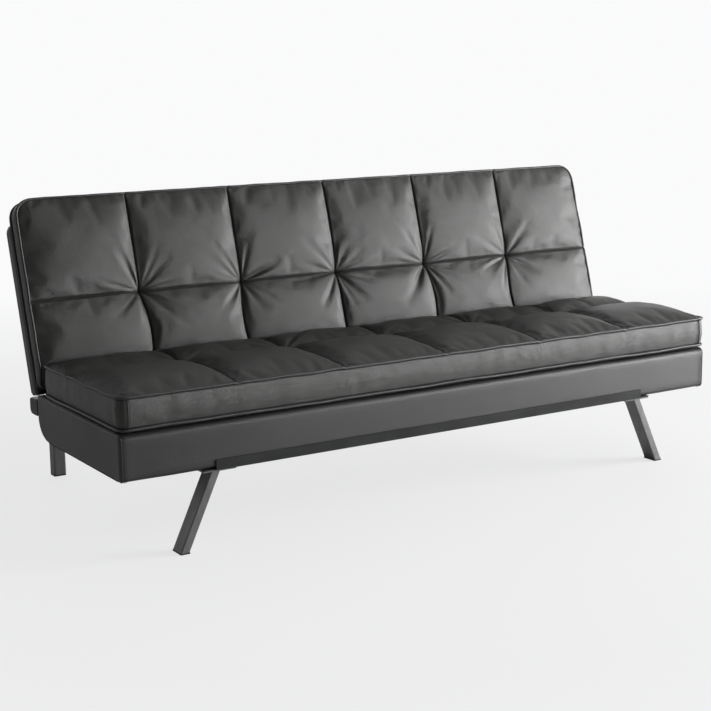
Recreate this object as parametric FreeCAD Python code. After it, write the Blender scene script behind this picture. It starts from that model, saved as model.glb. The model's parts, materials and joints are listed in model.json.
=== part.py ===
import FreeCAD, Part
import math
import os

# Click-clack sofa bed. The layout is drawn in millimetres with x across the sofa, y from the front
# face of the seat frame towards the rear and z up from the floor. save() moves each piece so that
# the origin is on the floor at the centre of the footprint.

V = FreeCAD.Vector

width = 1800.0          # over the side covers
half = width / 2
cover = 3.0             # leather and its backing on the two frames
board = 22.0            # frame timber
wadding = 4.0           # soft layer between the timber and the leather, left as air
sideWadding = 9.0       # the same at the two ends, where the leather is rounded over
frameDepth = 516.0      # seat frame, front to rear
frameLow = 197.0
frameHigh = 310.0
seatHeight = 400.0      # top of the seat pad, and of the back pad when it lies flat
seatPadDepth = 460.0
padGap = 2.0            # air between a pad and the frame that carries it
tilt = math.radians(17)   # lean of the back from upright
backPad = 60.0          # thickness of the back pad
backThick = 42.0        # thickness of the back frame
backLow = -70.0         # lower end of the back frame, along the back from the seat line
backHigh = 360.0
backPadLow = -62.0
backPadHigh = 413.0
seatLineY = 480.0       # where the back's front face crosses the height of the seat
pivotY = 536.3
pivotZ = 324.0
hingeX = 820.0          # middle of each hinge
notchHalf = 40.0
notchHigh = -6.0        # top of the notch in the back frame, along the back
beamDepth = 50.0
beamLow = 254.0
beamHigh = 294.0
legWall = 2.0
rearLeg = 35.0
rearLegX = 729.5
rearLegY = 839.5
footprintMid = 427.0    # middle of the footprint, from the front face of the seat frame

sides = {"left": -1, "right": 1}


def save(node, shape):
    shape = shape.copy()
    shape.translate(V(0, -footprintMid, 0))
    shape.exportStep("parts/" + node + ".step")


def group(shapes):
    return Part.makeCompound(shapes)


def box(x0, x1, y0, y1, z0, z1):
    return Part.makeBox(x1 - x0, y1 - y0, z1 - z0, V(x0, y0, z0))


def rod(x0, x1, y, z, radius):
    return Part.makeCylinder(radius, x1 - x0, V(x0, y, z), V(1, 0, 0))


def post(x, y, z0, z1, radius):
    return Part.makeCylinder(radius, z1 - z0, V(x, y, z0), V(0, 0, 1))


def hexX(x0, x1, y, z, acrossFlats):
    corner = acrossFlats / math.sqrt(3)
    points = []
    for k in range(7):
        a = math.radians(60 * k)
        points.append(V(x0, y + corner * math.cos(a), z + corner * math.sin(a)))
    return Part.Face(Part.makePolygon(points)).extrude(V(x1 - x0, 0, 0))


def hexZ(x, y, z0, z1, acrossFlats):
    corner = acrossFlats / math.sqrt(3)
    points = []
    for k in range(7):
        a = math.radians(60 * k)
        points.append(V(x + corner * math.cos(a), y + corner * math.sin(a), z0))
    return Part.Face(Part.makePolygon(points)).extrude(V(0, 0, z1 - z0))


def outline(corners, x):
    # corners: (y, z, radius) in order; gives a closed wire with rounded corners at the given x
    count = len(corners)
    ends = []
    arcs = []
    for k in range(count):
        y, z, r = corners[k]
        p = V(x, y, z)
        before = V(x, corners[k - 1][0], corners[k - 1][1]) - p
        after = V(x, corners[(k + 1) % count][0], corners[(k + 1) % count][1]) - p
        before.normalize()
        after.normalize()
        turn = before.getAngle(after)
        if r <= 0:
            ends.append((p, p))
            arcs.append(None)
            continue
        cut = r / math.tan(turn / 2)
        middle = before + after
        middle.normalize()
        centre = p + middle * (r / math.sin(turn / 2))
        ends.append((p + before * cut, p + after * cut))
        arcs.append(Part.Arc(p + before * cut, centre - middle * r, p + after * cut).toShape())
    edges = []
    for k in range(count):
        if arcs[k]:
            edges.append(arcs[k])
        start = ends[k][1]
        end = ends[(k + 1) % count][0]
        if start.distanceToPoint(end) > 1e-6:
            edges.append(Part.makeLine(start, end))
    return Part.Wire(edges)


def prism(corners, x0, x1):
    return Part.Face(outline(corners, x0)).extrude(V(x1 - x0, 0, 0))


def along(s, t):
    # a point of the back: s up along its front face from the seat line, t backwards through it
    y = seatLineY + s * math.sin(tilt) + t * math.cos(tilt)
    z = seatHeight + s * math.cos(tilt) - t * math.sin(tilt)
    return y, z


def backPrism(s0, s1, t0, t1, x0, x1, radii=(0, 0, 0, 0)):
    # radii: lower front, upper front, upper rear, lower rear
    spots = [(s0, t0), (s1, t0), (s1, t1), (s0, t1)]
    corners = []
    for spot, r in zip(spots, radii):
        y, z = along(spot[0], spot[1])
        corners.append((y, z, r))
    return prism(corners, x0, x1)


# seat frame

def seatProfile(inset):
    front, rear = inset, frameDepth - inset
    low, high = frameLow + inset, frameHigh - inset
    return [(front, low, 10 - inset), (front, high, 14 - inset),
            (rear, high, 8 - inset), (rear, low, 60 - inset)]


def makeSeatCovers():
    wrap = half - cover
    shell = prism(seatProfile(0), -wrap, wrap).cut(prism(seatProfile(cover), -wrap, wrap))
    frontEdge = 24.0
    rearEdge = 450.0
    middle = (frameLow + frameHigh) / 2
    save("seat_cover_front", shell.common(box(-half, half, -5, frontEdge, 0, 400)))
    save("seat_cover_rear", shell.common(box(-half, half, rearEdge, 600, 0, 400)))
    save("seat_cover_top", shell.common(box(-half, half, frontEdge, rearEdge, middle, 400)))
    dust = shell.common(box(-half, half, frontEdge, rearEdge, 0, middle))
    save("seat_dust_cover", dust.cut(railBoltShanks(4.15)))
    save("seat_cover_left", prism(seatProfile(0), -half, -wrap))
    save("seat_cover_right", prism(seatProfile(0), wrap, half))


def makeSeatTimber():
    inner = seatProfile(cover + wadding)
    outer = half - cover - sideWadding
    span = outer - board
    front = cover + wadding + board
    rear = frameDepth - cover - wadding - board
    slatHigh = 297.0
    slatThick = 12.0
    save("seat_side_board_left", prism(inner, -outer, -span))
    save("seat_side_board_right", prism(inner, span, outer))
    beam = prism(inner, -span, span)
    save("seat_front_board", beam.common(box(-half, half, 0, front, 0, 400)))
    save("seat_rear_board", beam.common(box(-half, half, rear, 600, 0, 400)))
    crossLow = frameLow + cover + wadding
    cleat = box(-span, span, front, 66, crossLow, crossLow + board)
    crosses = []
    for x in (-450, 0, 450):
        cross = box(x - board / 2, x + board / 2, front, 430, crossLow, slatHigh - slatThick)
        crosses.append(cross.cut(cleat))
    save("seat_cross_boards", group(crosses))
    save("seat_front_cleat", cleat.cut(railBoltShanks(4.15)))
    slatCount = 14
    slatWidth = 70.0
    pitch = 2 * span / slatCount
    slats = []
    for k in range(slatCount):
        x = -span + pitch * (k + 0.5)
        slats.append(box(x - slatWidth / 2, x + slatWidth / 2, front, rear, slatHigh - slatThick, slatHigh))
    save("seat_slats", group(slats))
    save("seat_deck_foam", box(-span, span, front, rear, slatHigh, frameHigh - cover))


# pads

def makeSeatPad():
    low = frameHigh + padGap
    skin = 2.5
    clear = 0.5
    top = 18.0
    rear = seatPadDepth
    outer = prism([(-2, low, 12), (-2, seatHeight, top), (rear, seatHeight, 20), (rear, low, 12)], -half, half)
    inset = skin
    core = prism([(-2 + inset, low + inset, 9), (-2 + inset, seatHeight - inset, top - inset),
                  (rear - inset, seatHeight - inset, 17), (rear - inset, low + inset, 9)],
                 -half + inset, half - inset)
    inset = skin + clear
    foam = prism([(-2 + inset, low + inset, 8), (-2 + inset, seatHeight - inset, top - inset),
                  (rear - inset, seatHeight - inset, 16), (rear - inset, low + inset, 8)],
                 -half + inset, half - inset)
    save("seat_pad_cover", outer.cut(core))
    save("seat_pad_core", foam)


def makeBackPad():
    skin = 2.5
    clear = 0.5
    rear = backPad - padGap

    def block(inset):
        return backPrism(backPadLow + inset, backPadHigh - inset, inset, rear - inset,
                         -half + inset, half - inset, (25 - inset, 18 - inset, 14 - inset, 8 - inset))

    save("back_pad_cover", block(0).cut(block(skin)))
    save("back_pad_core", block(skin + clear))


# back frame

def backSolid(inset, x0, x1):
    return backPrism(backLow + inset, backHigh - inset, backPad + inset, backPad + backThick - inset,
                     x0, x1, (8 - inset, 10 - inset, 20 - inset, 12 - inset))


def backSlice(s0, s1, t0, t1):
    return backPrism(s0, s1, t0, t1, -half - 10, half + 10)


def notches(grow):
    found = []
    for side in sides.values():
        x = side * hingeX
        found.append(backPrism(backLow - 40, notchHigh + grow, backPad - 1, backPad + backThick + 20,
                               x - notchHalf - grow, x + notchHalf + grow))
    return group(found)


def makeBackCovers():
    wrap = half - cover
    shell = backSolid(0, -wrap, wrap).cut(backSolid(cover, -wrap, wrap)).cut(notches(0))
    band = 25.0
    rear = backPad + backThick
    low = backLow + band
    high = backHigh - band
    save("back_cover_top", shell.common(backSlice(high, backHigh + 9, 0, rear + 9)))
    save("back_cover_bottom", shell.common(backSlice(backLow - 9, low, 0, rear + 9)))
    save("back_cover_front", shell.common(backSlice(low, high, 0, backPad + backThick / 2)))
    save("back_cover_rear", shell.common(backSlice(low, high, backPad + backThick / 2, rear + 9)))
    save("back_cover_left", backSolid(0, -half, -wrap))
    save("back_cover_right", backSolid(0, wrap, half))


def makeBackTimber():
    outer = half - cover - sideWadding
    front = backPad + cover + wadding / 2
    rear = backPad + backThick - cover - wadding / 2
    low = backLow + cover + wadding
    high = backHigh - cover - wadding
    clear = notches(2)
    inside = backSolid(cover + wadding / 2, -outer, outer)
    topBoard = inside.common(backSlice(high - 45, high, front, rear))
    bottomBoard = inside.common(backSlice(low, low + 42, front, rear)).cut(clear)
    save("back_top_board", topBoard)
    save("back_bottom_board", bottomBoard)
    stiles = []
    s0 = low + 42
    s1 = high - 45
    for side in sides.values():
        for x0, x1 in ((outer - board, outer), (hingeX - 2, hingeX + 22)):
            start = max(s0, notchHigh + 2)
            a, b = sorted((side * x0, side * x1))
            stiles.append(backPrism(start, s1, front, rear, a, b))
    for x in (-400, 0, 400):
        stiles.append(backPrism(s0, s1, front, rear, x - board / 2, x + board / 2))
    holes = []
    for side in sides.values():
        for s in armScrewSpots:
            holes.append(armScrewShank(side, s, 3.15))
    save("back_stiles", group([stile.cut(group(holes)) for stile in stiles]))
    slats = []
    slatReach = hingeX - 30
    for s in (40, 110, 180, 250):
        for x0, x1 in ((-slatReach, -411), (-389, -11), (11, 389), (411, slatReach)):
            slats.append(backPrism(s, s + 50, rear - 12, rear - 2, x0, x1))
    save("back_slats", group(slats))


# hinges

earOut = 28.0           # outer face of each ear from the middle of the hinge
earIn = 24.0
armThick = 6.0
pivotRadius = 5.0
pawlY = 568.0
pawlZ = 305.0
armScrewSpots = (24, 62, 100)


def convexPlate(circles, points, x0, x1):
    # the plate that a belt round the circles and points would enclose
    ring = []
    for y, z, r in circles:
        for k in range(48):
            a = 2 * math.pi * k / 48
            ring.append((y + r * math.cos(a), z + r * math.sin(a)))
    ring = sorted(ring + list(points))

    def side(points):
        hull = []
        for p in points:
            while len(hull) > 1:
                (ay, az), (by, bz) = hull[-2], hull[-1]
                if (by - ay) * (p[1] - az) - (bz - az) * (p[0] - ay) > 1e-9:
                    break
                hull.pop()
            hull.append(p)
        return hull[:-1]

    hull = side(ring) + side(ring[::-1])
    wire = Part.makePolygon([V(x0, y, z) for y, z in hull + hull[:1]])
    return Part.Face(wire).extrude(V(x1 - x0, 0, 0))


def makeBrackets():
    baseThick = 4.0
    baseY = (516.0, 576.0)
    screws = []
    pins = []
    nuts = []
    bolts = []
    for name, side in sides.items():
        x = side * hingeX
        top = beamHigh + baseThick
        base = box(x - earOut, x + earOut, baseY[0], baseY[1], beamHigh, top)
        body = base
        for a, b in ((-earOut, -earIn), (earIn, earOut)):
            ear = convexPlate([(pivotY, pivotZ, 14), (pawlY, pawlZ, 7)],
                              [(518, top - 1), (575, top - 1)], x + a, x + b)
            body = body.fuse(ear)
        body = body.cut(rod(x - 40, x + 40, pivotY, pivotZ, pivotRadius + 0.05))
        body = body.cut(rod(x - 40, x + 40, pawlY, pawlZ, 2.55))
        for y in (526, 556):
            body = body.cut(post(x, y, beamHigh - 1, top + 1, 3.2))
            head = hexZ(x, y, top, top + 1.6, 8).fuse(post(x, y, beamHigh - 12, top, 3.0))
            screws.append(head)
        save("hinge_bracket_" + name, body.removeSplitter())
        shaft = rod(x - 37, x + earOut, pivotY, pivotZ, pivotRadius)
        bolts.append(shaft.fuse(hexX(x + earOut, x + earOut + 6, pivotY, pivotZ, 16)))
        nut = hexX(x - earOut - 6, x - earOut, pivotY, pivotZ, 16)
        nuts.append(nut.cut(rod(x - 40, x, pivotY, pivotZ, pivotRadius + 0.03)))
        pin = rod(x - earOut - 2, x + earOut + 2, pawlY, pawlZ, 2.5)
        pins.append(pin)
    save("bracket_screws", group(screws))
    save("pivot_bolts", group(bolts))
    save("pivot_nuts", group(nuts))
    save("pawl_pins", group(pins))


def armScrewShank(side, s, radius):
    y, z = along(s, backPad + backThick / 2 - 5)
    x = side * (hingeX - 2)
    return Part.makeCylinder(radius, 20, V(x - side * armThick, y, z), V(side, 0, 0))


def makeArms():
    # each arm is a flat bar on the inner side of its stile; the eye turns on the pivot bolt
    screws = []
    for name, side in sides.items():
        a, b = sorted((side * (hingeX - 2 - armThick), side * (hingeX - 2)))
        s, t = -56.2, 76.0
        bar = backPrism(s, 120, t - 12, t + 12, a, b, (0, 10, 10, 0))
        arm = bar.fuse(rod(a, b, pivotY, pivotZ, 12))
        arm = arm.cut(rod(a - 5, b + 5, pivotY, pivotZ, pivotRadius + 0.08))
        for spot in armScrewSpots:
            arm = arm.cut(armScrewShank(side, spot, 3.15))
            y, z = along(spot, backPad + backThick / 2 - 5)
            x = side * (hingeX - 2 - armThick)
            head = Part.makeCylinder(6, 3, V(x, y, z), V(-side, 0, 0))
            screws.append(armScrewShank(side, spot, 3.0).fuse(head))
        save("hinge_arm_" + name, arm)
    save("arm_screws", group(screws))


ratchetTip = 24.0
ratchetRoot = 20.5
toothPitch = 12.0


def makeRatchets():
    # saw teeth round the bolt, cut flat on the side that faces the pad
    flat = 13.5
    for name, side in sides.items():
        x0 = side * (hingeX - 2)
        x1 = side * (hingeX + 4)
        a, b = sorted((x0, x1))
        points = []
        for k in range(30):
            start = math.radians(toothPitch * k)
            lead = math.radians(toothPitch * k + toothPitch * 0.9)
            points.append(V(a, pivotY + ratchetRoot * math.cos(start), pivotZ + ratchetRoot * math.sin(start)))
            points.append(V(a, pivotY + ratchetTip * math.cos(lead), pivotZ + ratchetTip * math.sin(lead)))
        wheel = Part.Face(Part.makePolygon(points + points[:1])).extrude(V(b - a, 0, 0))
        wheel = wheel.cut(backPrism(-120, 20, 76 - flat - 30, 76 - flat, a - 1, b + 1))
        wheel = wheel.cut(rod(a - 1, b + 1, pivotY, pivotZ, pivotRadius + 0.08))
        save("ratchet_" + name, wheel)


def makePawls():
    nose = (pivotY + (ratchetTip + 0.6) * math.cos(0.02), pivotZ + (ratchetTip + 0.6) * math.sin(0.02))
    for name, side in sides.items():
        a, b = sorted((side * (hingeX - 1.5), side * (hingeX + 3.5)))
        boss = rod(a, b, pawlY, pawlZ, 5.5)
        tip = [nose, (nose[0] + 4, nose[1] + 4), (nose[0] + 8, nose[1] - 1)]
        blade = [(pawlY - 4, pawlZ + 3), (pawlY + 5, pawlZ + 2)]
        wire = Part.makePolygon([V(a, y, z) for y, z in [blade[0]] + tip + [blade[1], blade[0]]])
        pawl = boss.fuse(Part.Face(wire).extrude(V(b - a, 0, 0)))
        pawl = pawl.cut(rod(a - 1, b + 1, pawlY, pawlZ, 2.56))
        save("pawl_" + name, pawl)
        spring = box(a + 1, b - 1, 574.6, 575.2, beamHigh + 4, pawlZ + 14)
        save("pawl_spring_" + name, spring)


# steel base

def tubeZ(x0, x1, y0, y1, z0, z1, wall):
    return box(x0, x1, y0, y1, z0, z1).cut(box(x0 + wall, x1 - wall, y0 + wall, y1 - wall, z0, z1))


def slantedBar(side, footX, topX, depth, thick, y0, z0, z1):
    # a bar cut level at both ends that leans sideways from its foot to its top
    points = [V(side * footX, y0, z0), V(side * (footX - thick), y0, z0),
              V(side * (topX - thick), y0, z1), V(side * topX, y0, z1)]
    return Part.Face(Part.makePolygon(points + points[:1])).extrude(V(0, depth, 0))


frontFootX = 754.0
frontTopX = 668.0
frontTube = (24.0, 45.0)
frontLegY = 8.0
plateThick = 4.0
flange = 3.0
glide = 4.0


def railBoltSpots():
    # the legs' bolts, then those between the legs
    spots = []
    for side in sides.values():
        for reach in (frontTopX + 14, frontTopX - 50):
            spots.append((side * reach, 54, frameLow - flange - plateThick))
    for x in (-420, -140, 140, 420):
        spots.append((x, 38, frameLow - flange))
    return spots


def railBoltShanks(radius):
    return group([post(x, y, low, frameLow + 18, radius) for x, y, low in railBoltSpots()])


def makeRailBolts():
    bolts = []
    for x, y, low in railBoltSpots():
        bolts.append(post(x, y, low, frameLow + 18, 4.0).fuse(hexZ(x, y, low - 5, low, 13)))
    save("rail_bolts", group(bolts))


def makeFrontLegs():
    top = frameLow - flange - plateThick
    plates = []
    glides = []
    for name, side in sides.items():
        rise = top - glide
        lean = (frontFootX - frontTopX) / rise
        full = slantedBar(side, frontFootX, frontTopX, frontTube[1], frontTube[0], frontLegY, glide, top)
        hollow = slantedBar(side, frontFootX - legWall * 1.1 + lean, frontTopX - legWall * 1.1 - lean,
                            frontTube[1] - 2 * legWall, frontTube[0] - 2.2 * legWall,
                            frontLegY + legWall, glide - 1, top - 3)
        long = [edge for edge in full.Edges if edge.BoundBox.ZLength > rise - 5]
        save("front_leg_" + name, full.makeFillet(3, long).cut(hollow).removeSplitter())
        a, b = sorted((side * (frontTopX - 62), side * (frontTopX + 24)))
        plate = box(a, b, 2, 62, top, top + plateThick)
        plates.append(plate.cut(railBoltShanks(4.2)))
        footX = side * (frontFootX - frontTube[0] / 2)
        glides.append(box(footX - 12, footX + 12, frontLegY, frontLegY + frontTube[1], 0, glide))
    save("front_leg_plates", group(plates))
    save("front_foot_glides", group(glides))


def makeFrontRail():
    railHalf = 660.0
    upright = 25.0
    face = box(-railHalf, railHalf, -flange, 0, frameLow - flange, frameLow - flange + upright)
    shelf = box(-railHalf, railHalf, 0, 45, frameLow - flange, frameLow)
    ends = []
    for side in sides.values():
        # short tabs carry the shelf out over the leg plates
        a, b = sorted((side * railHalf, side * (frontTopX + 24)))
        ends.append(box(a, b, 0, 62, frameLow - flange, frameLow))
        a, b = sorted((side * (frontTopX - 62), side * railHalf))
        ends.append(box(a, b, 45, 62, frameLow - flange, frameLow))
    rail = face.fuse([shelf] + ends).removeSplitter()
    top = frameLow - flange + upright
    crest = [edge for edge in rail.Edges if edge.BoundBox.ZMin > top - 0.1 and edge.BoundBox.YMax < -flange + 0.1]
    rail = rail.makeFillet(1.2, crest)
    save("front_rail", rail.cut(railBoltShanks(4.2)))


def makeRearBase():
    beamFront = frameDepth
    beamRear = beamFront + beamDepth
    wall = 2.0
    beamEnd = half - 6
    outer = box(-beamEnd, beamEnd, beamFront, beamRear, beamLow, beamHigh)
    inner = box(-beamEnd, beamEnd, beamFront + wall, beamRear - wall, beamLow + wall, beamHigh - wall)
    beam = outer.cut(inner)
    for side in sides.values():
        for y in (526, 556):
            beam = beam.cut(post(side * hingeX, y, beamHigh - 5, beamHigh + 1, 3.15))
    save("rear_beam", beam)
    caps = []
    for side in sides.values():
        a, b = sorted((side * beamEnd, side * (half - 1)))
        caps.append(prism([(beamFront + 1, beamLow, 3), (beamFront + 1, beamHigh, 3),
                           (beamRear, beamHigh, 8), (beamRear, beamLow, 14)], a, b))
    save("beam_end_caps", group(caps))
    armHigh = beamHigh - 5
    armLow = armHigh - rearLeg
    glides = []
    rests = []
    r = rearLeg / 2
    for name, side in sides.items():
        x = side * rearLegX
        rearFace = rearLegY + r
        arm = box(x - r, x + r, beamRear, rearLegY - r, armLow, armHigh)
        arm = arm.cut(box(x - r + wall, x + r - wall, beamRear, rearLegY - r, armLow + wall, armHigh - wall))
        save("rear_arm_" + name, arm)
        leg = box(x - r, x + r, rearLegY - r, rearFace, glide, armHigh)
        leg = leg.makeFillet(5, [e for e in leg.Edges if abs(e.BoundBox.ZLength) > 100])
        core = box(x - r + wall, x + r - wall, rearLegY - r + wall, rearFace - wall, glide, armHigh - wall)
        save("rear_leg_" + name, leg.cut(core))
        foot = box(x - r, x + r, rearLegY - r, rearFace, 0, glide)
        glides.append(foot.makeFillet(5, [e for e in foot.Edges if abs(e.BoundBox.ZLength) > 3]))
        rest = post(x, rearLegY, armHigh, 296.5, 13)
        rests.append(rest)
    save("rear_foot_glides", group(glides))
    save("bed_rests", group(rests))
    tie = box(-rearLegX + r, rearLegX - r, rearLegY - r + 5, rearFace - 5, armLow + 5, armHigh - 5)
    core = box(-rearLegX + r, rearLegX - r, rearLegY - r + 7, rearFace - 7, armLow + 7, armHigh - 7)
    save("rear_cross_rail", tie.cut(core))


def main():
    os.makedirs("parts", exist_ok=True)
    makeSeatCovers()
    makeSeatTimber()
    makeSeatPad()
    makeBackPad()
    makeBackCovers()
    makeBackTimber()
    makeBrackets()
    makeArms()
    makeRatchets()
    makePawls()
    makeFrontLegs()
    makeFrontRail()
    makeRailBolts()
    makeRearBase()


main()
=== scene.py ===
import json
import math
import random
import bmesh
import bpy
from mathutils import Matrix, Vector, noise


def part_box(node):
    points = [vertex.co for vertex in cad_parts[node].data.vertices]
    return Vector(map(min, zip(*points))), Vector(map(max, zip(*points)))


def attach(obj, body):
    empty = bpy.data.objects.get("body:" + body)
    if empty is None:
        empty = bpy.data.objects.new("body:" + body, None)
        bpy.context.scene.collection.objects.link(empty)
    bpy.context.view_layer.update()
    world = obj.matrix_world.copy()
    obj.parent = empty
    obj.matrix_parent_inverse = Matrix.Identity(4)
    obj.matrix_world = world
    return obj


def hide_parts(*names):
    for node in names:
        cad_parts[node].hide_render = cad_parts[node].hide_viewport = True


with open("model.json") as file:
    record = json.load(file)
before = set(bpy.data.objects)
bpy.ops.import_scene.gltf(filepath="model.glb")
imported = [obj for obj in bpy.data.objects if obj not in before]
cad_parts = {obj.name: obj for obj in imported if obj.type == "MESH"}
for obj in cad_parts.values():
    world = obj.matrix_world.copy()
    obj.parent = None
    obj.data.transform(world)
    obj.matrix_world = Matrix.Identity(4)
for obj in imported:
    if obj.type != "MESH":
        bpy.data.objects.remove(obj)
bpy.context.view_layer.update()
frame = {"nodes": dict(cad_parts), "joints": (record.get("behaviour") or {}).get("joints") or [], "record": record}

# the back leans on its pivot; everything on it is placed from the pivot along these directions
backLean = math.radians(17)
upBack = Vector((0, math.sin(backLean), math.cos(backLean)))
throughBack = Vector((0, math.cos(backLean), -math.sin(backLean)))
pivotUp, pivotThrough = -0.0562, 0.076
recline = [joint for joint in frame["joints"] if joint["name"] == "back_recline"][0]
seatLine = Vector(recline["pos_m"]) - upBack * pivotUp - throughBack * pivotThrough
seatPadLow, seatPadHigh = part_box("seat_pad_cover")
halfWidth = seatPadHigh[0]
seatFrameLow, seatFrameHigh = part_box("seat_cover_left")


def wobble(x, y, z, size, seed=0.0):
    return noise.noise(Vector((x / size + seed, y / size - seed * 0.7, z / size + seed * 1.3)))


# materials

def newGroup(name, inputs, outputs):
    tree = bpy.data.node_groups.new(name, "ShaderNodeTree")
    for label, kind, value in inputs:
        socket = tree.interface.new_socket(name=label, in_out="INPUT", socket_type=kind)
        socket.default_value = value
    for label, kind in outputs:
        tree.interface.new_socket(name=label, in_out="OUTPUT", socket_type=kind)
    return tree, tree.nodes.new("NodeGroupInput"), tree.nodes.new("NodeGroupOutput")


def node(tree, kind, **settings):
    made = tree.nodes.new(kind)
    for key, value in settings.items():
        setattr(made, key, value)
    return made


def maths(tree, operation, first, second=0.5):
    made = node(tree, "ShaderNodeMath", operation=operation)
    for k, value in enumerate((first, second)):
        if isinstance(value, (int, float)):
            made.inputs[k].default_value = value
        else:
            tree.links.new(value, made.inputs[k])
    return made.outputs[0]


def objectSpace(tree):
    return node(tree, "ShaderNodeTexCoord").outputs["Object"]


def leatherGrainGroup():
    tree, source, result = newGroup(
        "Leather Grain",
        [("Pore Scale", "NodeSocketFloat", 420.0), ("Crease Scale", "NodeSocketFloat", 9.0)],
        [("Height", "NodeSocketFloat"), ("Cloud", "NodeSocketFloat")])
    place = objectSpace(tree)
    pores = node(tree, "ShaderNodeTexVoronoi", feature="DISTANCE_TO_EDGE")
    fine = node(tree, "ShaderNodeTexNoise")
    creases = node(tree, "ShaderNodeTexNoise")
    cloud = node(tree, "ShaderNodeTexNoise")
    fine.inputs["Scale"].default_value = 900.0
    creases.inputs["Detail"].default_value = 4.0
    cloud.inputs["Scale"].default_value = 3.5
    cloud.inputs["Detail"].default_value = 3.0
    for texture in (pores, fine, creases, cloud):
        tree.links.new(place, texture.inputs["Vector"])
    tree.links.new(source.outputs["Pore Scale"], pores.inputs["Scale"])
    tree.links.new(source.outputs["Crease Scale"], creases.inputs["Scale"])
    cell = maths(tree, "MINIMUM", maths(tree, "MULTIPLY", pores.outputs["Distance"], 5.0), 1.0)
    coarse = maths(tree, "MULTIPLY", cell, 0.35)
    grain = maths(tree, "ADD", coarse, maths(tree, "MULTIPLY", fine.outputs[0], 0.15))
    tree.links.new(maths(tree, "ADD", grain, maths(tree, "MULTIPLY", creases.outputs[0], 1.2)),
                   result.inputs["Height"])
    tree.links.new(cloud.outputs[0], result.inputs["Cloud"])
    return tree


def dustGroup():
    # pale dust that settles on faces that look up, broken by noise
    tree, source, result = newGroup(
        "Settled Dust", [("Amount", "NodeSocketFloat", 0.1)], [("Mask", "NodeSocketFloat")])
    facing = node(tree, "ShaderNodeNewGeometry")
    split = node(tree, "ShaderNodeSeparateXYZ")
    patch = node(tree, "ShaderNodeTexNoise")
    patch.inputs["Scale"].default_value = 14.0
    patch.inputs["Detail"].default_value = 5.0
    tree.links.new(objectSpace(tree), patch.inputs["Vector"])
    tree.links.new(facing.outputs["Normal"], split.inputs[0])
    up = maths(tree, "MAXIMUM", split.outputs["Z"], 0.0)
    patchy = maths(tree, "MULTIPLY", up, patch.outputs[0])
    mask = maths(tree, "MULTIPLY", patchy, source.outputs["Amount"])
    tree.links.new(mask, result.inputs["Mask"])
    return tree


def wearGroup():
    # fine scratches and rubbed patches
    tree, source, result = newGroup(
        "Rubbed Wear",
        [("Scale", "NodeSocketFloat", 30.0), ("Stretch", "NodeSocketVector", (1.0, 1.0, 8.0))],
        [("Mask", "NodeSocketFloat"), ("Scratch", "NodeSocketFloat")])
    stretch = node(tree, "ShaderNodeVectorMath", operation="DIVIDE")
    scratch = node(tree, "ShaderNodeTexNoise")
    patch = node(tree, "ShaderNodeTexNoise")
    scratch.inputs["Detail"].default_value = 6.0
    patch.inputs["Scale"].default_value = 11.0
    place = objectSpace(tree)
    tree.links.new(place, stretch.inputs[0])
    tree.links.new(source.outputs["Stretch"], stretch.inputs[1])
    tree.links.new(stretch.outputs[0], scratch.inputs["Vector"])
    tree.links.new(place, patch.inputs["Vector"])
    tree.links.new(source.outputs["Scale"], scratch.inputs["Scale"])
    tree.links.new(patch.outputs[0], result.inputs["Mask"])
    tree.links.new(scratch.outputs[0], result.inputs["Scratch"])
    return tree


groups = {"grain": leatherGrainGroup(), "dust": dustGroup(), "wear": wearGroup()}
print("node groups ready")


def startMaterial(name):
    material = bpy.data.materials.new(name)
    material.use_nodes = True
    tree = material.node_tree
    return material, tree, tree.nodes["Principled BSDF"]


def place(tree, key, **values):
    made = node(tree, "ShaderNodeGroup", node_tree=groups[key])
    for label, value in values.items():
        made.inputs[label.replace("_", " ")].default_value = value
    return made


def mixColours(tree, factor, first, second):
    mix = node(tree, "ShaderNodeMix", data_type="RGBA")
    for key, value in ((6, first), (7, second)):
        if isinstance(value, tuple):
            mix.inputs[key].default_value = value + (1.0,)
        else:
            tree.links.new(value, mix.inputs[key])
    tree.links.new(factor, mix.inputs[0])
    return mix.outputs[2]


def bumpFrom(tree, shader, height, distance, strength=1.0):
    bump = node(tree, "ShaderNodeBump")
    bump.inputs["Distance"].default_value = distance
    bump.inputs["Strength"].default_value = strength
    tree.links.new(height, bump.inputs["Height"])
    tree.links.new(bump.outputs[0], shader.inputs["Normal"])


def remap(tree, value, low, high, fromLow=0.3, fromHigh=0.7):
    ranged = node(tree, "ShaderNodeMapRange")
    limits = {"From Min": fromLow, "From Max": fromHigh, "To Min": low, "To Max": high}
    for label, number in limits.items():
        ranged.inputs[label].default_value = number
    tree.links.new(value, ranged.inputs["Value"])
    return ranged.outputs[0]


dustColour = (0.30, 0.29, 0.27)
# painted shade: the near-black colour laid into the pad seams and beside the piping in place of the shade there
paintedSeamShade = (0.002, 0.002, 0.002)
leatherLook = {
    "pad": {"dark": (0.0130, 0.0135, 0.0115), "light": (0.019, 0.0195, 0.017), "rough": (0.34, 0.45),
            "creaseScale": 9.0, "depth": 0.0009},
    "frame": {"dark": (0.0135, 0.0135, 0.0145), "light": (0.019, 0.019, 0.0205), "rough": (0.38, 0.48),
              "creaseScale": 5.0, "depth": 0.0005},
    "piping": {"dark": (0.015, 0.0155, 0.0150), "light": (0.022, 0.0225, 0.0215), "rough": (0.34, 0.46),
               "creaseScale": 40.0, "depth": 0.0006},
}


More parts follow.
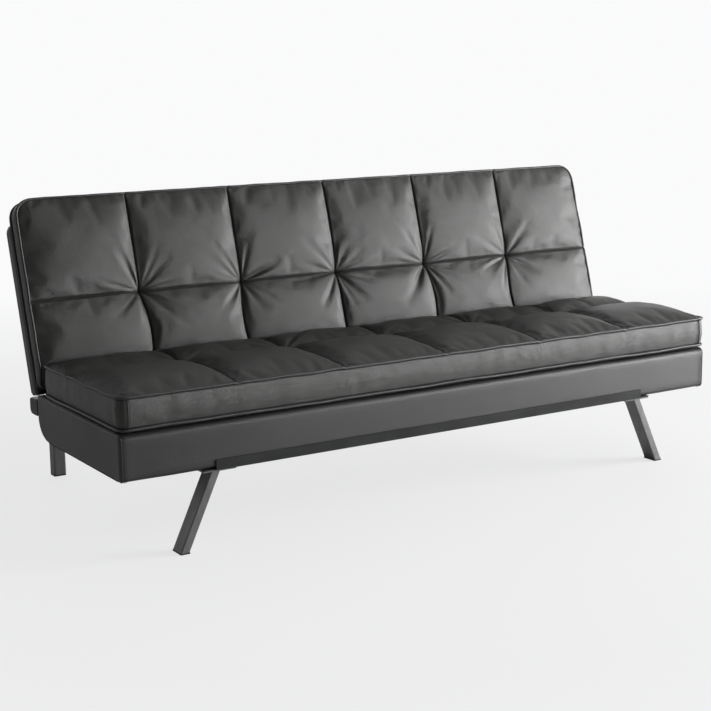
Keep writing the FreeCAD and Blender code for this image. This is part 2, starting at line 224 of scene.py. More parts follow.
def leather(name, look):
    material, tree, shader = startMaterial(name)
    grain = place(tree, "grain", Crease_Scale=look["creaseScale"])
    dust = place(tree, "dust", Amount=0.02)
    tone = mixColours(tree, remap(tree, grain.outputs["Cloud"], 0.0, 1.0), look["dark"], look["light"])
    dusty = mixColours(tree, dust.outputs["Mask"], tone, dustColour)
    # the pads carry a painted-shade mask that is full along their seams and beside their piping: it darkens the
    # colour to near black and raises the roughness to take away the sheen, painting in the shade of those crevices
    creviceShade = node(tree, "ShaderNodeAttribute", attribute_name="creviceShade").outputs["Fac"]
    tree.links.new(mixColours(tree, creviceShade, dusty, paintedSeamShade), shader.inputs["Base Color"])
    satin = remap(tree, grain.outputs["Cloud"], *look["rough"])
    tree.links.new(maths(tree, "MAXIMUM", satin, creviceShade), shader.inputs["Roughness"])
    bumpFrom(tree, shader, grain.outputs["Height"], look["depth"], 0.8)
    shader.inputs["Sheen Weight"].default_value = 0.015
    shader.inputs["Sheen Roughness"].default_value = 0.4
    return material


def paintedSteel(name, dark, light, rough, stretch, depth):
    material, tree, shader = startMaterial(name)
    wear = place(tree, "wear", Scale=60.0, Stretch=stretch)
    dust = place(tree, "dust", Amount=0.08)
    tone = mixColours(tree, remap(tree, wear.outputs["Scratch"], 0.0, 1.0, 0.35, 0.65), dark, light)
    dusty = mixColours(tree, dust.outputs["Mask"], tone, (0.32, 0.31, 0.29))
    tree.links.new(dusty, shader.inputs["Base Color"])
    tree.links.new(remap(tree, wear.outputs["Mask"], *rough), shader.inputs["Roughness"])
    bumpFrom(tree, shader, wear.outputs["Scratch"], depth, 0.6)
    shader.inputs["Metallic"].default_value = 0.35
    return material


def bareSteel(name):
    material, tree, shader = startMaterial(name)
    wear = place(tree, "wear", Scale=90.0, Stretch=(6.0, 1.0, 1.0))
    rubbed = remap(tree, wear.outputs["Mask"], 0.0, 1.0)
    tone = mixColours(tree, rubbed, (0.42, 0.42, 0.40), (0.60, 0.61, 0.62))
    tree.links.new(tone, shader.inputs["Base Color"])
    tree.links.new(remap(tree, wear.outputs["Scratch"], 0.28, 0.48), shader.inputs["Roughness"])
    bumpFrom(tree, shader, wear.outputs["Scratch"], 0.0002, 0.5)
    shader.inputs["Metallic"].default_value = 0.95
    return material


def timber(name):
    material, tree, shader = startMaterial(name)
    stretch = node(tree, "ShaderNodeMapping")
    stretch.inputs["Scale"].default_value = (2.0, 26.0, 26.0)
    rings = node(tree, "ShaderNodeTexWave", wave_type="BANDS", bands_direction="Z")
    rings.inputs["Scale"].default_value = 1.4
    rings.inputs["Distortion"].default_value = 7.0
    rings.inputs["Detail"].default_value = 4.0
    wear = place(tree, "wear", Scale=40.0, Stretch=(10.0, 1.0, 1.0))
    tree.links.new(objectSpace(tree), stretch.inputs["Vector"])
    tree.links.new(stretch.outputs[0], rings.inputs["Vector"])
    tone = mixColours(tree, rings.outputs["Fac"], (0.50, 0.33, 0.17), (0.66, 0.48, 0.28))
    tree.links.new(tone, shader.inputs["Base Color"])
    tree.links.new(remap(tree, wear.outputs["Mask"], 0.6, 0.8), shader.inputs["Roughness"])
    bumpFrom(tree, shader, wear.outputs["Scratch"], 0.0006)
    return material


def wovenCloth(name, dark, light):
    material, tree, shader = startMaterial(name)
    waves = []
    for direction in ("X", "Y"):
        wave = node(tree, "ShaderNodeTexWave", wave_type="BANDS", bands_direction=direction)
        wave.inputs["Scale"].default_value = 160.0
        wave.inputs["Distortion"].default_value = 0.6
        tree.links.new(objectSpace(tree), wave.inputs["Vector"])
        waves.append(wave.outputs["Fac"])
    weave = maths(tree, "MULTIPLY", waves[0], waves[1])
    tree.links.new(mixColours(tree, weave, dark, light), shader.inputs["Base Color"])
    shader.inputs["Roughness"].default_value = 0.9
    bumpFrom(tree, shader, weave, 0.0005)
    return material


def mouldedPlastic(name, dark, light, rough):
    material, tree, shader = startMaterial(name)
    wear = place(tree, "wear", Scale=300.0, Stretch=(1.0, 1.0, 1.0))
    dust = place(tree, "dust", Amount=0.15)
    tone = mixColours(tree, remap(tree, wear.outputs["Mask"], 0.0, 1.0), dark, light)
    dusty = mixColours(tree, dust.outputs["Mask"], tone, dustColour)
    tree.links.new(dusty, shader.inputs["Base Color"])
    tree.links.new(remap(tree, wear.outputs["Scratch"], *rough), shader.inputs["Roughness"])
    bumpFrom(tree, shader, wear.outputs["Scratch"], 0.0002)
    return material


def openFoam(name):
    material, tree, shader = startMaterial(name)
    cells = node(tree, "ShaderNodeTexVoronoi")
    cells.inputs["Scale"].default_value = 500.0
    tree.links.new(objectSpace(tree), cells.inputs["Vector"])
    tone = mixColours(tree, cells.outputs["Distance"], (0.70, 0.62, 0.36), (0.86, 0.80, 0.58))
    tree.links.new(tone, shader.inputs["Base Color"])
    shader.inputs["Roughness"].default_value = 0.95
    bumpFrom(tree, shader, cells.outputs["Distance"], 0.001)
    return material


materials = {
    "pad_leather": leather("padLeather", leatherLook["pad"]),
    "frame_leather": leather("frameLeather", leatherLook["frame"]),
    "piping": leather("pipingLeather", leatherLook["piping"]),
    "rail_paint": paintedSteel("railPaint", (0.008, 0.009, 0.0085), (0.013, 0.0145, 0.0137),
                               (0.68, 0.80), (12.0, 1.0, 1.0), 0.0002),
    "leg_paint": paintedSteel("legPaint", (0.130, 0.131, 0.128), (0.160, 0.162, 0.158), (0.34, 0.46),
                              (1.0, 1.0, 6.0), 0.0002),
    "zinc_steel": bareSteel("zincSteel"),
    "timber": timber("frameTimber"),
    "dust_cloth": wovenCloth("dustCloth", (0.008, 0.008, 0.009), (0.03, 0.03, 0.032)),
    "black_plastic": mouldedPlastic("blackPlastic", (0.012, 0.012, 0.012), (0.022, 0.022, 0.022),
                                    (0.45, 0.6)),
    "rubber": mouldedPlastic("restRubber", (0.010, 0.010, 0.010), (0.018, 0.018, 0.018),
                             (0.7, 0.85)),
    "foam": openFoam("padFoam"),
    "thread": wovenCloth("threadWeave", (0.030, 0.031, 0.032), (0.075, 0.076, 0.078)),
}


def dressFrame():
    slots = {row["node"]: row["material_slot"] for row in frame["record"]["subparts"]}
    for name, piece in frame["nodes"].items():
        piece.data.materials.clear()
        piece.data.materials.append(materials[slots[name]])
    print("CAD nodes dressed:", len(slots))


dressFrame()


# mesh helpers

def meshObject(name, vertices, faces, material, smooth=True):
    mesh = bpy.data.meshes.new(name)
    mesh.from_pydata([tuple(v) for v in vertices], [], faces)
    mesh.validate()
    piece = bpy.data.objects.new(name, mesh)
    bpy.context.scene.collection.objects.link(piece)
    mesh.materials.append(material)
    tidy = bmesh.new()
    tidy.from_mesh(mesh)
    bmesh.ops.recalc_face_normals(tidy, faces=tidy.faces)
    tidy.to_mesh(mesh)
    tidy.free()
    mesh.polygons.foreach_set("use_smooth", [smooth] * len(mesh.polygons))
    return piece


def applyModifier(piece, modifier):
    bpy.context.view_layer.objects.active = piece
    bpy.ops.object.modifier_apply(modifier=modifier.name)


def subdivide(piece, levels=1):
    modifier = piece.modifiers.new("soften", "SUBSURF")
    modifier.levels = levels
    modifier.render_levels = levels
    applyModifier(piece, modifier)


def closeHole(piece):
    # fills the flat opening that is left in the under side
    work = bmesh.new()
    work.from_mesh(piece.data)
    rim = [edge for edge in work.edges if edge.is_boundary]
    bmesh.ops.edgeloop_fill(work, edges=rim)
    bmesh.ops.recalc_face_normals(work, faces=work.faces)
    work.to_mesh(piece.data)
    work.free()
    piece.data.polygons.foreach_set("use_smooth", [True] * len(piece.data.polygons))


def tubeAlong(points, radius, sides=10, closed=True):
    # a round tube through the points; returns vertices and faces
    count = len(points)
    vertices, faces = [], []
    side = None
    for k, point in enumerate(points):
        if closed:
            direction = points[(k + 1) % count] - points[k - 1]
        else:
            direction = points[min(k + 1, count - 1)] - points[max(k - 1, 0)]
        direction.normalize()
        if side is None:
            side = direction.orthogonal()
        side = side - direction * side.dot(direction)
        side.normalize()
        other = direction.cross(side)
        for j in range(sides):
            a = 2 * math.pi * j / sides
            vertices.append(point + (side * math.cos(a) + other * math.sin(a)) * radius)
    spans = count if closed else count - 1
    shift = 0
    if closed:
        # the rings turn a little on their way round, so the last joins the first by its nearest vertex
        last = vertices[(count - 1) * sides]
        shift = min(range(sides), key=lambda j: (vertices[j] - last).length)
    for k in range(spans):
        a = k * sides
        b = ((k + 1) % count) * sides
        turn = shift if closed and k == count - 1 else 0
        for j in range(sides):
            nextJ = (j + 1) % sides
            faces.append((a + j, a + nextJ, b + (nextJ + turn) % sides, b + (j + turn) % sides))
    if not closed:
        faces.append(tuple(range(sides)))
        faces.append(tuple(reversed(range((count - 1) * sides, count * sides))))
    return vertices, faces


def alongPath(points, normals, distance):
    for k in range(len(points) - 1):
        span = (points[k + 1] - points[k]).length
        if distance <= span:
            t = distance / span
            return points[k].lerp(points[k + 1], t), normals[k].lerp(normals[k + 1], t)
        distance -= span
    return points[-1].copy(), normals[-1].copy()


stitch = {"length": 0.0042, "gap": 0.0016, "radius": 0.00042}


def stitchRow(points, normals):
    # short threads lying along a line of points, each sinking into the leather at its ends
    vertices, faces = [], []
    pitch = stitch["length"] + stitch["gap"]
    total = sum((points[k + 1] - points[k]).length for k in range(len(points) - 1))
    for k in range(int(total / pitch)):
        start, up = alongPath(points, normals, k * pitch)
        end, _ = alongPath(points, normals, k * pitch + stitch["length"])
        lift = up.normalized() * stitch["radius"]
        path = [start - lift, start.lerp(end, 0.2) + lift, start.lerp(end, 0.8) + lift, end - lift]
        more, moreFaces = tubeAlong(path, stitch["radius"], 6, False)
        base = len(vertices)
        vertices += more
        faces += [tuple(base + i for i in face) for face in moreFaces]
    return vertices, faces


def sewnLine(name, body, lines, weltRadius):
    # lines holds points, normals and the kind, welt or stitch; each kind becomes one piece
    for kind in ("welt", "stitch"):
        vertices, faces = [], []
        for points, normals, lineKind in lines:
            if lineKind != kind:
                continue
            if kind == "welt":
                more, moreFaces = tubeAlong(points, weltRadius, 6, False)
            else:
                more, moreFaces = stitchRow(points, normals)
            base = len(vertices)
            vertices += more
            faces += [tuple(base + i for i in face) for face in moreFaces]
        material = materials["piping" if kind == "welt" else "thread"]
        made = meshObject(name + "_" + kind, vertices, faces, material)
        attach(made, body)


# pads: sewn squares, tufts, a box border and piping

def spread(stops, counts, pinch=0.6):
    # positions through the stops, closer together beside each stop
    found = [stops[0]]
    for k, count in enumerate(counts):
        a, b = stops[k], stops[k + 1]
        for j in range(1, count + 1):
            u = j / count
            found.append(a + (b - a) * (u - pinch * math.sin(2 * math.pi * u) / (2 * math.pi)))
    return found


def seatPlace(x, b, c):
    return Vector((x, seatPadLow[1] + b, seatPadLow[2] + c))


def backPlace(x, b, c):
    along = upBack * (b + backPad["low"])
    return seatLine + Vector((x, 0, 0)) + along + throughBack * (backPad["thick"] - c)


sheetStep = 44  # spans of the sheet across one sewn square
seatPad = {
    "name": "seat_pad", "body": "root", "nodes": ("seat_pad_cover", "seat_pad_core"),
    "place": seatPlace, "deep": seatPadHigh[1] - seatPadLow[1], "thick": seatPadHigh[2] - seatPadLow[2],
    "low": 0.0, "flat": 0.42, "dome": (0.009, 0.004),
    "seam": 0.302, "columns": 6, "rows": (38, 24), "corners": (0.024, 0.024, 0.02, 0.02),
    "crown": 0.0100, "seamDip": 0.0035, "tuftDip": 0.014, "pressure": 2.6, "grow": -0.014,
    "fold": 0.0, "bow": (0.004, 0.004),
    "crisp": 0.007, "thread": 0.003, "seed": 3.1, "cornerSeams": True,
}
backPad = {
    "name": "back_pad", "body": "back", "nodes": ("back_pad_cover", "back_pad_core"),
    "place": backPlace,
    "deep": 0.475, "thick": 0.058, "low": -0.062, "flat": 0.30, "dome": (0.0, 0.0),
    "seam": 0.214, "columns": 6, "rows": (30, 34), "corners": (0.02, 0.02, 0.045, 0.045),
    "crown": 0.0095, "seamDip": 0.004, "tuftDip": 0.019, "pressure": 1.1, "grow": -0.006,
    "fold": 0.055, "bow": (0.016, 0.002),
    "crisp": 0.009, "thread": 0.003, "seed": 7.7, "cornerSeams": False,
}
pipe = {"radius": 0.0036, "drop": 0.004, "wave": 0.0020, "low": 0.008, "beside": 0.0046, "out": 0.0022}
tuft = {"reach": 0.16, "pinch": 0.02, "rayDepth": 0.0050, "raySize": 0.036}
rim = {"width": 0.03, "lap": 0.001, "roll": 0.026}
border = {"swell": 0.0042, "swellWave": 0.0012, "gather": 0.0008, "tuckIn": 0.0028, "sway": 0.0010,
          "under": ((0.003, 0.002), (0.009, 0.0004), (0.02, 0.0004))}
# mask is the width of the painted shade along the seams
crease = {"mask": 0.0022, "thread": 0.002, "sag": 0.002, "seam": 0.001}


def roundCorner(pad, x, b):
    # maps the straight grid into a rectangle with rounded corners
    deep = pad["deep"]
    index = (0 if x < 0 else 1) if b < deep / 2 else (2 if x < 0 else 3)
    r = pad["corners"][index]
    cx = math.copysign(halfWidth - r, x)
    cb = r if b < deep / 2 else deep - r
    dx, db = x - cx, b - cb
    outX = dx * math.copysign(1, x) > 0
    outB = (db < 0) if b < deep / 2 else (db > 0)
    if not (outX and outB):
        return x, b
    biggest = max(abs(dx), abs(db))
    length = math.hypot(dx, db)
    if length < 1e-9:
        return x, b
    return cx + dx * biggest / length, cb + db * biggest / length


def padSheet(pad):
    # the sewn top panel as a grid, with the points that a seam or the edge holds and how far each
    # point is from a seam
    cells = [-halfWidth + 2 * halfWidth * k / pad["columns"] for k in range(pad["columns"] + 1)]
    xs = spread(cells, [sheetStep] * pad["columns"])
    bs = spread([0.0, pad["seam"], pad["deep"]], pad["rows"])
    seams = cells[1:-1]
    rng = random.Random(pad["seed"])
    stars = []
    for x in seams:
        phases = [rng.uniform(0, math.tau) for _ in range(3)]
        stars.append((x, phases, rng.uniform(0.8, 1.2)))
    points, held, fromSeam = [], [], []
    for j, b in enumerate(bs):
        for i, x in enumerate(xs):
            edge = i in (0, len(xs) - 1) or j in (0, len(bs) - 1)
            onSeam = i % sheetStep == 0 or j == pad["rows"][0]
            row = 0 if b < pad["seam"] else 1
            across = (x + halfWidth) / (2 * halfWidth)
            column = min(int(across * pad["columns"]), pad["columns"] - 1)
            u = (x - cells[column]) / (cells[column + 1] - cells[column])
            b0, b1 = ((0.0, pad["seam"]), (pad["seam"], pad["deep"]))[row]
            v = (b - b0) / (b1 - b0)
            puff = (16 * max(u * (1 - u), 0) * max(v * (1 - v), 0)) ** pad["flat"]
            c = pad["thick"] - pad["seamDip"] + pad["crown"] * puff
            c += pad["dome"][row] * math.sin(math.pi * v)
            c += puff * 0.0025 * wobble(x, b, 0, 0.06, pad["seed"])
            for tuftX, phases, strength in stars:
                dx, db = x - tuftX, b - pad["seam"]
                r = math.hypot(dx, db)
                if r > tuft["reach"]:
                    continue
                c -= (pad["tuftDip"] - pad["seamDip"]) * math.exp(-r / tuft["pinch"])
                a = math.atan2(db, dx)
                rays = sum(max(math.cos(n * a + p), 0) ** 6 for n, p in zip((3, 5, 7), phases))
                far = r / tuft["raySize"]
                ray = tuft["rayDepth"] * strength * rays * far * math.exp(1 - far)
                c -= ray * min(puff * 1.6, 1)
            # the panel runs down to the piping at its edge, and the low end of the back rolls away
            inside = min(halfWidth - abs(x), b, pad["deep"] - b)
            if inside < rim["width"]:
                t = inside / rim["width"]
                edgeC = pad["thick"] - pipe["drop"] - rim["lap"]
                c = edgeC + (c - edgeC) * (1 - (1 - t) ** 2.4)
            if pad["fold"] and b < pad["fold"]:
                c -= rim["roll"] * (1 - b / pad["fold"]) ** 2
            bow = pad["bow"][row] * math.sin(math.pi * v) * math.sin(math.tau * x / 0.9 + row)
            px, pb = roundCorner(pad, x, b)
            if not edge:
                px += bow * min(1, (halfWidth - abs(px)) / 0.1)
            points.append(Vector((px, pb, c)))
            held.append(1.0 if edge or onSeam else 0.0)
            fromSeam.append(min([abs(x - seam) for seam in seams] + [abs(b - pad["seam"])]))
    return points, held, fromSeam, len(xs), len(bs)


clothRun = {"frames": 20, "cap": 0.022}


def gridFaces(across, along):
    return [(j * across + i, j * across + i + 1, (j + 1) * across + i + 1, (j + 1) * across + i)
            for j in range(along - 1) for i in range(across - 1)]


def puffed(pad, points, held, across, along):
    # cloth under pressure between the sewn lines; spare leather in each square makes the wrinkles
    faces = gridFaces(across, along)
    sheet = meshObject("simSheet", points, faces, materials["pad_leather"])
    group = sheet.vertex_groups.new(name="sewn")
    group.add([k for k, weight in enumerate(held) if weight > 0.5], 1.0, "REPLACE")
    cloth = sheet.modifiers.new("Cloth", "CLOTH")
    settings = cloth.settings
    settings.quality = 6
    settings.mass = 0.3
    settings.tension_stiffness = 20
    settings.compression_stiffness = 20
    settings.shear_stiffness = 8
    settings.bending_stiffness = 1.2
    settings.use_pressure = True
    settings.uniform_pressure_force = pad["pressure"]
    settings.shrink_min = pad["grow"]
    settings.vertex_group_mass = "sewn"
    settings.effector_weights.gravity = 0
    cloth.collision_settings.use_collision = False
    scene = bpy.context.scene
    cloth.point_cache.frame_start = 1
    cloth.point_cache.frame_end = clothRun["frames"]
    for k in range(clothRun["frames"]):
        scene.frame_set(k + 1)
    shaped = sheet.evaluated_get(bpy.context.evaluated_depsgraph_get())
    result = []
    cap = clothRun["cap"]
    for k, vertex in enumerate(shaped.data.vertices):
        move = vertex.co - points[k]
        if move.length > cap:
            move *= cap / move.length
        result.append(points[k] + move)
    scene.frame_set(1)
    bpy.data.objects.remove(sheet)
    return result


def ringOf(across, along):
    # the grid's outer indices, anticlockwise from the front left corner
    ring = list(range(across))
    ring += [j * across + across - 1 for j in range(1, along)]
    ring += [(along - 1) * across + i for i in range(across - 2, -1, -1)]
    ring += [j * across for j in range(along - 2, 0, -1)]
    return ring


def outwardOf(loop, k):
    ahead = loop[(k + 1) % len(loop)] - loop[k - 1]
    outward = Vector((ahead.y, -ahead.x, 0))
    return outward.normalized() if outward.length > 1e-9 else Vector((0, -1, 0))


def ringFaces(outer, inner):
    count = len(outer)
    return [(outer[k], outer[(k + 1) % count], inner[(k + 1) % count], inner[k]) for k in range(count)]


def sewCorners(pad, upper, outs, columns):
    # a welt with a row of stitches beside it, down the border at both front corners
    place = pad["place"]
    lines = []
    for side in (-1, 1):
        target = Vector((side * (halfWidth - pad["corners"][0]), 0.0))
        best = min(range(len(upper)), key=lambda k: (upper[k].xy - target).length)
        facing = (place(*outs[best]) - place(0, 0, 0)).normalized()
        for offset, lift, kind in ((0.0, 0.0006, "welt"), (0.0055, 0.0010, "stitch")):
            shift = Vector((-side * offset, 0, 0)) + outs[best] * lift
            line = [place(*(q + shift)) for q in columns[best]]
            lines.append((line, [facing] * len(line), kind))
    sewnLine(pad["name"] + "_corner", pad["body"], lines, 0.0009)


def makePad(pad):
    sewn, held, fromSeam, across, along = padSheet(pad)
    print(pad["name"], "sheet of", len(sewn), "points")
    points = puffed(pad, sewn, held, across, along)
    # beside a seam the leather keeps the steep sewn shape, and the thread pulls the seam itself in
    for k, p in enumerate(points):
        d = fromSeam[k]
        p = p.lerp(sewn[k], math.exp(-d / pad["crisp"]))
        pulled = pad["thread"] * math.exp(-(d / crease["thread"]) ** 2)
        p.z = max(p.z, sewn[k].z - crease["sag"])
        if d <= crease["seam"] or held[k] < 0.5:
            p.z -= pulled
        points[k] = p
    # painted shade: full on a seam and fading over a couple of millimetres; the material turns it into near-black
    # shade
    creviceShade = [math.exp(-(d / crease["mask"]) ** 2) for d in fromSeam]
    faces = gridFaces(across, along)
    ring = ringOf(across, along)
    # the edge of the top panel, where it meets the piping, gets full painted shade
    for index in ring:
        creviceShade[index] = 1.0
    seed = pad["seed"]
    # the edge itself waves a little, and the border follows it
    upper = [points[k].copy() for k in ring]
    outs = [outwardOf(upper, k) for k in range(len(upper))]
    for k, index in enumerate(ring):
        p = upper[k]
        p.z += pipe["wave"] * wobble(p.x, p.y, 0, 0.07, seed)
        p += outs[k] * (border["sway"] * wobble(p.x, p.y, 1, 0.05, seed) - border["tuckIn"])
        points[index] = p.copy()
    vertices = list(points)
    near = pipe["beside"] / (pad["thick"] - pipe["drop"] - pipe["low"])
    levels = [near, 1.8 * near] + [0.17 + 0.11 * k for k in range(7)]
    levels += [1 - 1.8 * near, 1 - near, 1.0]
    besidePiping = (0, len(levels) - 2, len(levels) - 1)
    previous = ring
    lower = []
    columns = [[] for _ in upper]
    for level, t in enumerate(levels):
        current = []
        bulge = math.sin(math.pi * t)
        for k, p in enumerate(upper):
            c = p.z + (pipe["low"] - p.z) * t
            swell = border["swell"] * bulge
            swell += border["swellWave"] * wobble(p.x * 3, p.y * 3, t, 0.05, seed + 2) * bulge
            gather = border["gather"] * wobble(p.x, p.y, t * 0.02, 0.032, seed + 5) * bulge
            q = Vector((p.x, p.y, c)) + outs[k] * (swell + gather)
            if t == 1.0:
                q.z += pipe["wave"] * wobble(p.x, p.y, 3, 0.09, seed)
                lower.append(q.copy())
            columns[k].append(q.copy())
            current.append(len(vertices))
            vertices.append(q)
            # the rows beside the piping get full painted shade, the rest of the border none
            creviceShade.append(1.0 if level in besidePiping else 0.0)
        faces += ringFaces(previous, current)
        previous = current
    # the under side rolls in from the lower piping and closes flat
    for inset, c in border["under"]:
        current = []
        for k, q in enumerate(lower):
            current.append(len(vertices))
            vertices.append(Vector((q.x, q.y, c)) - outs[k] * inset)
            creviceShade.append(0.0)
        faces += ringFaces(previous, current)
        previous = current
    place = pad["place"]
    vertices = [place(v.x, v.y, v.z) for v in vertices]
    cushion = meshObject(pad["name"], vertices, faces, materials["pad_leather"])
    # stores the painted-shade mask for the pad material
    mask = cushion.data.attributes.new("creviceShade", "FLOAT", "POINT")
    mask.data.foreach_set("value", creviceShade)
    subdivide(cushion)
    closeHole(cushion)
    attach(cushion, pad["body"])
    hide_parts(*pad["nodes"])
    for label, loop in (("upper", upper), ("lower", lower)):
        path = [place(*(loop[k] + outs[k] * pipe["out"])) for k in range(0, len(loop), 2)]
        tube, tubeFaces = tubeAlong(path, pipe["radius"])
        cord = meshObject(pad["name"] + "_" + label + "_piping", tube, tubeFaces, materials["piping"])
        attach(cord, pad["body"])
    if pad["cornerSeams"]:
        sewCorners(pad, upper, outs, columns)
    print(pad["name"], "made")


makePad(seatPad)
makePad(backPad)


# wrapped frames

def arcProfile(corners, steps):
    # corners: (a, b, radius); returns the closed outline with round corners
    found = []
    count = len(corners)
    for k in range(count):
        p = Vector(corners[k][:2])
        r = corners[k][2]
        before = (Vector(corners[k - 1][:2]) - p).normalized()
        after = (Vector(corners[(k + 1) % count][:2]) - p).normalized()
        turn = before.angle(after)
        cut = r / math.tan(turn / 2)
        centre = p + (before + after).normalized() * (r / math.sin(turn / 2))
        a, b = p + before * cut - centre, p + after * cut - centre
        for j in range(steps + 1):
            t = j / steps
            spoke = (a * math.sin((1 - t) * (math.pi - turn)) + b * math.sin(t * (math.pi - turn)))
            found.append(centre + spoke / math.sin(math.pi - turn))
    return found


def resample(outline, step):
    found = []
    count = len(outline)
    for k in range(count):
        a, b = outline[k], outline[(k + 1) % count]
        pieces = max(1, round((b - a).length / step))
        for j in range(pieces):
            found.append(a.lerp(b, j / pieces))
    return found


def closeUp(wrap):
    # merges the places that fall together in the notches and keeps their edges sharp
    work = bmesh.new()
    work.from_mesh(wrap.data)
    bmesh.ops.remove_doubles(work, verts=work.verts, dist=1e-5)
    bmesh.ops.dissolve_degenerate(work, edges=work.edges, dist=1e-6)
    bmesh.ops.recalc_face_normals(work, faces=work.faces)
    work.to_mesh(wrap.data)
    work.free()
    wrap.data.set_sharp_from_angle(angle=math.radians(50))


def wrappedBox(spec):
    # a padded leather wrap over a frame: the outline runs along x and rolls in at both ends
    outline = resample(arcProfile(spec["outline"], 6), 0.012)
    count = len(outline)
    middle = sum(outline, Vector((0, 0))) / count
    normals = []
    for k in range(count):
        ahead = outline[(k + 1) % count] - outline[k - 1]
        normals.append(Vector((ahead.y, -ahead.x)).normalized())
    if normals[0].dot(outline[0] - middle) < 0:
        normals = [-n for n in normals]
    roll = spec["roll"]
    stations = [(-halfWidth + roll * (1 - math.cos(math.pi / 2 * j / 6)),
                 roll * (1 - math.sin(math.pi / 2 * j / 6))) for j in range(7)]
    inner = [(-halfWidth + roll + (2 * halfWidth - 2 * roll) * k / 120, 0.0) for k in range(1, 120)]
    stations = stations + inner + [(-x, inset) for x, inset in reversed(stations)]
    notched = spec["notch"]
    if notched:
        stations += [(side * x, 0.0) for side in (-1, 1) for x in notched["full"] + notched["cut"]]
        stations.sort()
    vertices, faces = [], []
    seed = spec["seed"]
    for x, inset in stations:
        inNotch = notched and notched["cut"][0] <= abs(x) <= notched["cut"][1]
        for k, p in enumerate(outline):
            q = p - normals[k] * inset
            ripple = spec["ripple"] * wobble(x, q.x * 2, q.y * 2, 0.16, seed)
            ripple += spec["ripple"] * 0.4 * wobble(x, q.x * 2, q.y * 2, 0.05, seed)
            q = q + normals[k] * (ripple - 0.0006)
            if inNotch and p.x < notched["high"]:
                q = Vector((notched["high"], p.y))
            vertices.append(spec["place"](x, q.x, q.y))
    for j in range(len(stations) - 1):
        here = [j * count + k for k in range(count)]
        faces += ringFaces(here, [k + count for k in here])
    # ends: rings that shrink towards the middle
    for end, sign in ((0, -1), (len(stations) - 1, 1)):
        previous = [end * count + k for k in range(count)]
        for scale in (0.96, 0.84, 0.64, 0.4, 0.2):
            current = []
            for k, p in enumerate(outline):
                q = middle + (p - normals[k] * roll - middle) * scale
                swell = 0.0004 * (1 - scale ** 3) + 0.0006 * wobble(0, q.x, q.y, 0.08, seed + sign)
                current.append(len(vertices))
                vertices.append(spec["place"](sign * (halfWidth - 0.0006 + swell), q.x, q.y))
            faces += ringFaces(previous, current)
            previous = current
        faces.append(tuple(previous))
    wrap = meshObject(spec["name"], vertices, faces, materials["frame_leather"])
    if notched:
        closeUp(wrap)
    lines = []
    closed = list(range(count)) + [0]
    for side in (-1, 1):
        for offset, kind in ((0.0, "welt"), (0.0055, "stitch"), (0.0105, "stitch")):
            x = side * (halfWidth - roll * 0.55 - offset)
            inset = roll * (1 - math.sqrt(1 - 0.45 ** 2)) if offset == 0 else 0.0
            lift = {"welt": 0.0, "stitch": 0.0005}[kind]
            line = [spec["place"](x, *(outline[k] - normals[k] * (inset - lift))) for k in closed]
            facing = [spec["place"](0, *normals[k]) - spec["place"](0, 0, 0) for k in closed]
            lines.append((line, facing, kind))
    sewnLine(spec["name"] + "_side", spec["body"], lines, 0.0011)
    return wrap


frameLow, frameHigh = seatFrameLow[2], seatFrameHigh[2]
frameFront, frameRear = seatFrameLow[1], seatFrameHigh[1]
seatFrame = {
    "name": "seat_frame_wrap",
    "outline": [(frameFront, frameLow, 0.011), (frameFront, frameHigh, 0.016),
                (frameRear, frameHigh, 0.011), (frameRear, frameLow, 0.060)],
    "roll": 0.0095, "ripple": 0.0009, "seed": 12.0, "body": "root",
    "notch": None, "place": lambda x, y, z: Vector((x, y, z)),
}
backFrame = {
    "name": "back_frame_wrap",
    "outline": [(-0.0755, 0.060, 0.011), (0.360, 0.060, 0.011), (0.360, 0.102, 0.020),
                (-0.0755, 0.102, 0.012)],
    "roll": 0.0095, "ripple": 0.0008, "seed": 21.0, "body": "back",
    "notch": {"full": (0.7785, 0.8615), "cut": (0.7800, 0.8600), "high": -0.006},
    "place": lambda x, s, t: seatLine + Vector((x, 0, 0)) + upBack * s + throughBack * t,
}

seatWrap = wrappedBox(seatFrame)
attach(seatWrap, "root")
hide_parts("seat_cover_front", "seat_cover_rear", "seat_cover_top", "seat_cover_left",
            "seat_cover_right")
backWrap = wrappedBox(backFrame)
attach(backWrap, "back")
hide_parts("back_cover_front", "back_cover_rear", "back_cover_top", "back_cover_bottom",
            "back_cover_left", "back_cover_right")
print("frames wrapped")


# camera, floor and light

camera = {"place": (-2.218, -3.533, 1.149), "turn": 32.06, "down": 11.22, "roll": -0.65,
          "lens": 77.6}


def makeCamera():
    turn, down, roll = (math.radians(camera[key]) for key in ("turn", "down", "roll"))
    ahead = Vector((math.sin(turn) * math.cos(down), math.cos(turn) * math.cos(down), -math.sin(down)))
    right = Vector((math.cos(turn), -math.sin(turn), 0))
    up = right.cross(ahead)
    tiltedRight = right * math.cos(roll) + up * math.sin(roll)
    tiltedUp = up * math.cos(roll) - right * math.sin(roll)
    data = bpy.data.cameras.new("view")
    data.lens = camera["lens"]
    data.sensor_width = 36.0
    view = bpy.data.objects.new("view", data)
    bpy.context.scene.collection.objects.link(view)
    axes = Matrix((tiltedRight, tiltedUp, -ahead)).transposed()
    view.matrix_world = Matrix.Translation(Vector(camera["place"])) @ axes.to_4x4()
    bpy.context.scene.camera = view


floorLook = {"size": 30.0, "tones": ((0.78, 0.78, 0.785), (0.83, 0.83, 0.835)), "clear": (1.5, 3.6),
             "least": 0.75,
             "far": (0.955, 0.957, 0.962)}


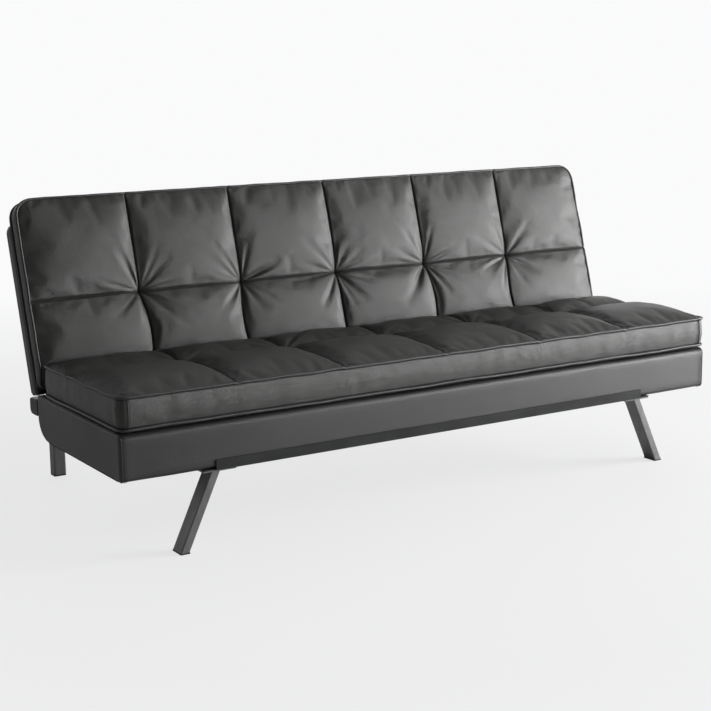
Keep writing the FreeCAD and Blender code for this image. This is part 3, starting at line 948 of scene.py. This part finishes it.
def makeFloor():
    size = floorLook["size"]
    corners = [(-size, -size, 0), (size, -size, 0), (size, size, 0), (-size, size, 0)]
    material, tree, shader = startMaterial("paleFloor")
    floor = meshObject("floor", corners, [(0, 1, 2, 3)], material, False)
    patch = node(tree, "ShaderNodeTexNoise")
    patch.inputs["Scale"].default_value = 0.8
    spot = objectSpace(tree)
    tree.links.new(spot, patch.inputs["Vector"])
    tone = mixColours(tree, patch.outputs[0], *floorLook["tones"])
    tree.links.new(tone, shader.inputs["Base Color"])
    shader.inputs["Roughness"].default_value = 0.6
    # far from the piece the floor turns into the same white as the room, so no edge shows
    away = node(tree, "ShaderNodeVectorMath", operation="LENGTH")
    tree.links.new(spot, away.inputs[0])
    fade = remap(tree, away.outputs["Value"], floorLook["least"], 1.0, *floorLook["clear"])
    seen = node(tree, "ShaderNodeLightPath").outputs["Is Camera Ray"]
    glow = node(tree, "ShaderNodeEmission")
    glow.inputs["Color"].default_value = floorLook["far"] + (1.0,)
    both = node(tree, "ShaderNodeMixShader")
    tree.links.new(maths(tree, "MULTIPLY", fade, seen), both.inputs[0])
    tree.links.new(shader.outputs[0], both.inputs[1])
    tree.links.new(glow.outputs[0], both.inputs[2])
    tree.links.new(both.outputs[0], tree.nodes["Material Output"].inputs["Surface"])


lights = {
    "key": {"place": (5.3, -2.6, 1.2), "aim": (0.3, 0.0, 0.4), "size": 2.7, "power": 620},
    "low": {"place": (3.2, -4.2, 0.7), "aim": (0.6, 0.0, 0.3), "size": 1.6, "power": 40},
}
room = {"base": 0.13, "sides": (((0.93, 0.37, 0.0), 0.7), ((-0.4, 0.92, 0.0), 0.40)),
        "seen": (0.955, 0.957, 0.962)}


def makeWorld():
    # the room is white to look at, and lights the piece more from its bright side
    world = bpy.data.worlds.new("studio")
    world.use_nodes = True
    tree = world.node_tree
    view = node(tree, "ShaderNodeTexCoord").outputs["Generated"]
    level = room["base"]
    for direction, gain in room["sides"]:
        towards = node(tree, "ShaderNodeVectorMath", operation="DOT_PRODUCT")
        tree.links.new(view, towards.inputs[0])
        towards.inputs[1].default_value = direction
        side = maths(tree, "MAXIMUM", towards.outputs["Value"], 0.0)
        level = maths(tree, "ADD", maths(tree, "MULTIPLY", side, gain), level)
    lit = tree.nodes["Background"]
    tree.links.new(level, lit.inputs["Strength"])
    lit.inputs["Color"].default_value = (1.0, 1.0, 1.0, 1.0)
    plain = node(tree, "ShaderNodeBackground")
    plain.inputs["Color"].default_value = room["seen"] + (1.0,)
    both = node(tree, "ShaderNodeMixShader")
    tree.links.new(node(tree, "ShaderNodeLightPath").outputs["Is Camera Ray"], both.inputs[0])
    tree.links.new(lit.outputs[0], both.inputs[1])
    tree.links.new(plain.outputs[0], both.inputs[2])
    tree.links.new(both.outputs[0], tree.nodes["World Output"].inputs["Surface"])
    bpy.context.scene.world = world
    bpy.context.scene.view_settings.view_transform = "Standard"


def makeLights():
    for name, spec in lights.items():
        data = bpy.data.lights.new(name, "AREA")
        data.shape = "SQUARE"
        data.size = spec["size"]
        data.energy = spec["power"]
        lamp = bpy.data.objects.new(name, data)
        bpy.context.scene.collection.objects.link(lamp)
        lamp.location = spec["place"]
        aim = Vector(spec["aim"]) - lamp.location
        lamp.rotation_euler = aim.to_track_quat("-Z", "Y").to_euler()


makeCamera()
makeFloor()
makeWorld()
makeLights()
print("stage set")
